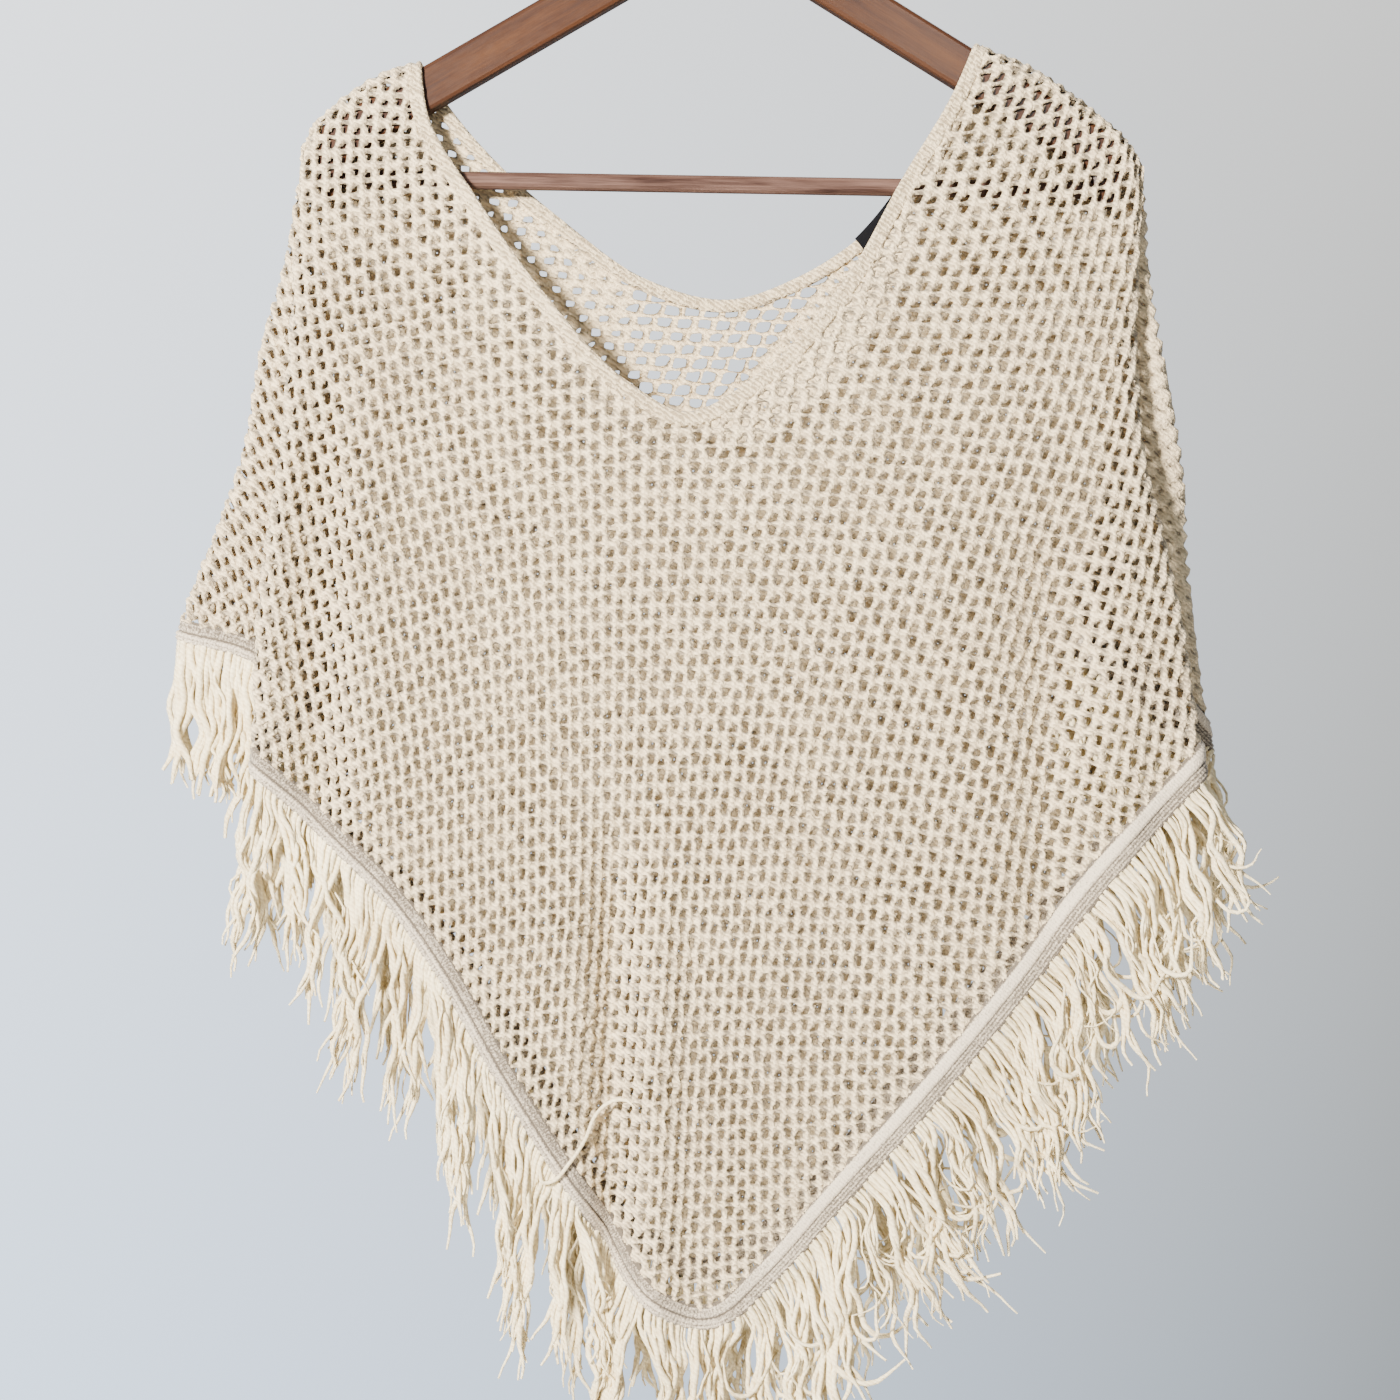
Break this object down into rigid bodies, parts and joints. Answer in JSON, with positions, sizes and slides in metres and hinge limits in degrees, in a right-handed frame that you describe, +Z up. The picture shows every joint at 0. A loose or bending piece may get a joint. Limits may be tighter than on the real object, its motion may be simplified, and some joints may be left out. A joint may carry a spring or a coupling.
{
  "type": "knit poncho on a wooden hanger",
  "caption": "Open-knit poncho with a V neck, ribbed bands and a pointed, fringed hem, hanging flat on a wooden hanger with a round bar and a wire hook.",
  "frame": {"origin": "the inner top of the hanger's hook, where it rests on a rail", "axes": "+Z up along the hook's shank, +X to the right of a viewer who faces the front, +Y from the front to the back"},
  "size_m": [0.5908, 0.0616, 0.9358],
  "materials": {
    "knit": "cream open knit, matte",
    "rib": "cream close rib, matte",
    "yarn": "cream yarn ends, matte",
    "label": "near-black woven ribbon",
    "wood": "brown stained wood, satin lacquer",
    "bar": "brown stained wood, satin lacquer",
    "steel": "bright plated wire"
  },
  "bodies": {
    "root": {"front_panel": "knit", "back_panel": "knit", "neck_band_front": "rib", "neck_band_back": "rib", "hem_band_front": "rib", "hem_band_back": "rib", "fringe_front": "yarn", "fringe_back": "yarn", "label": "label", "hanger_arms": "wood", "hanger_bar": "bar", "hanger_hook": "steel"}
  },
  "joints": []
}
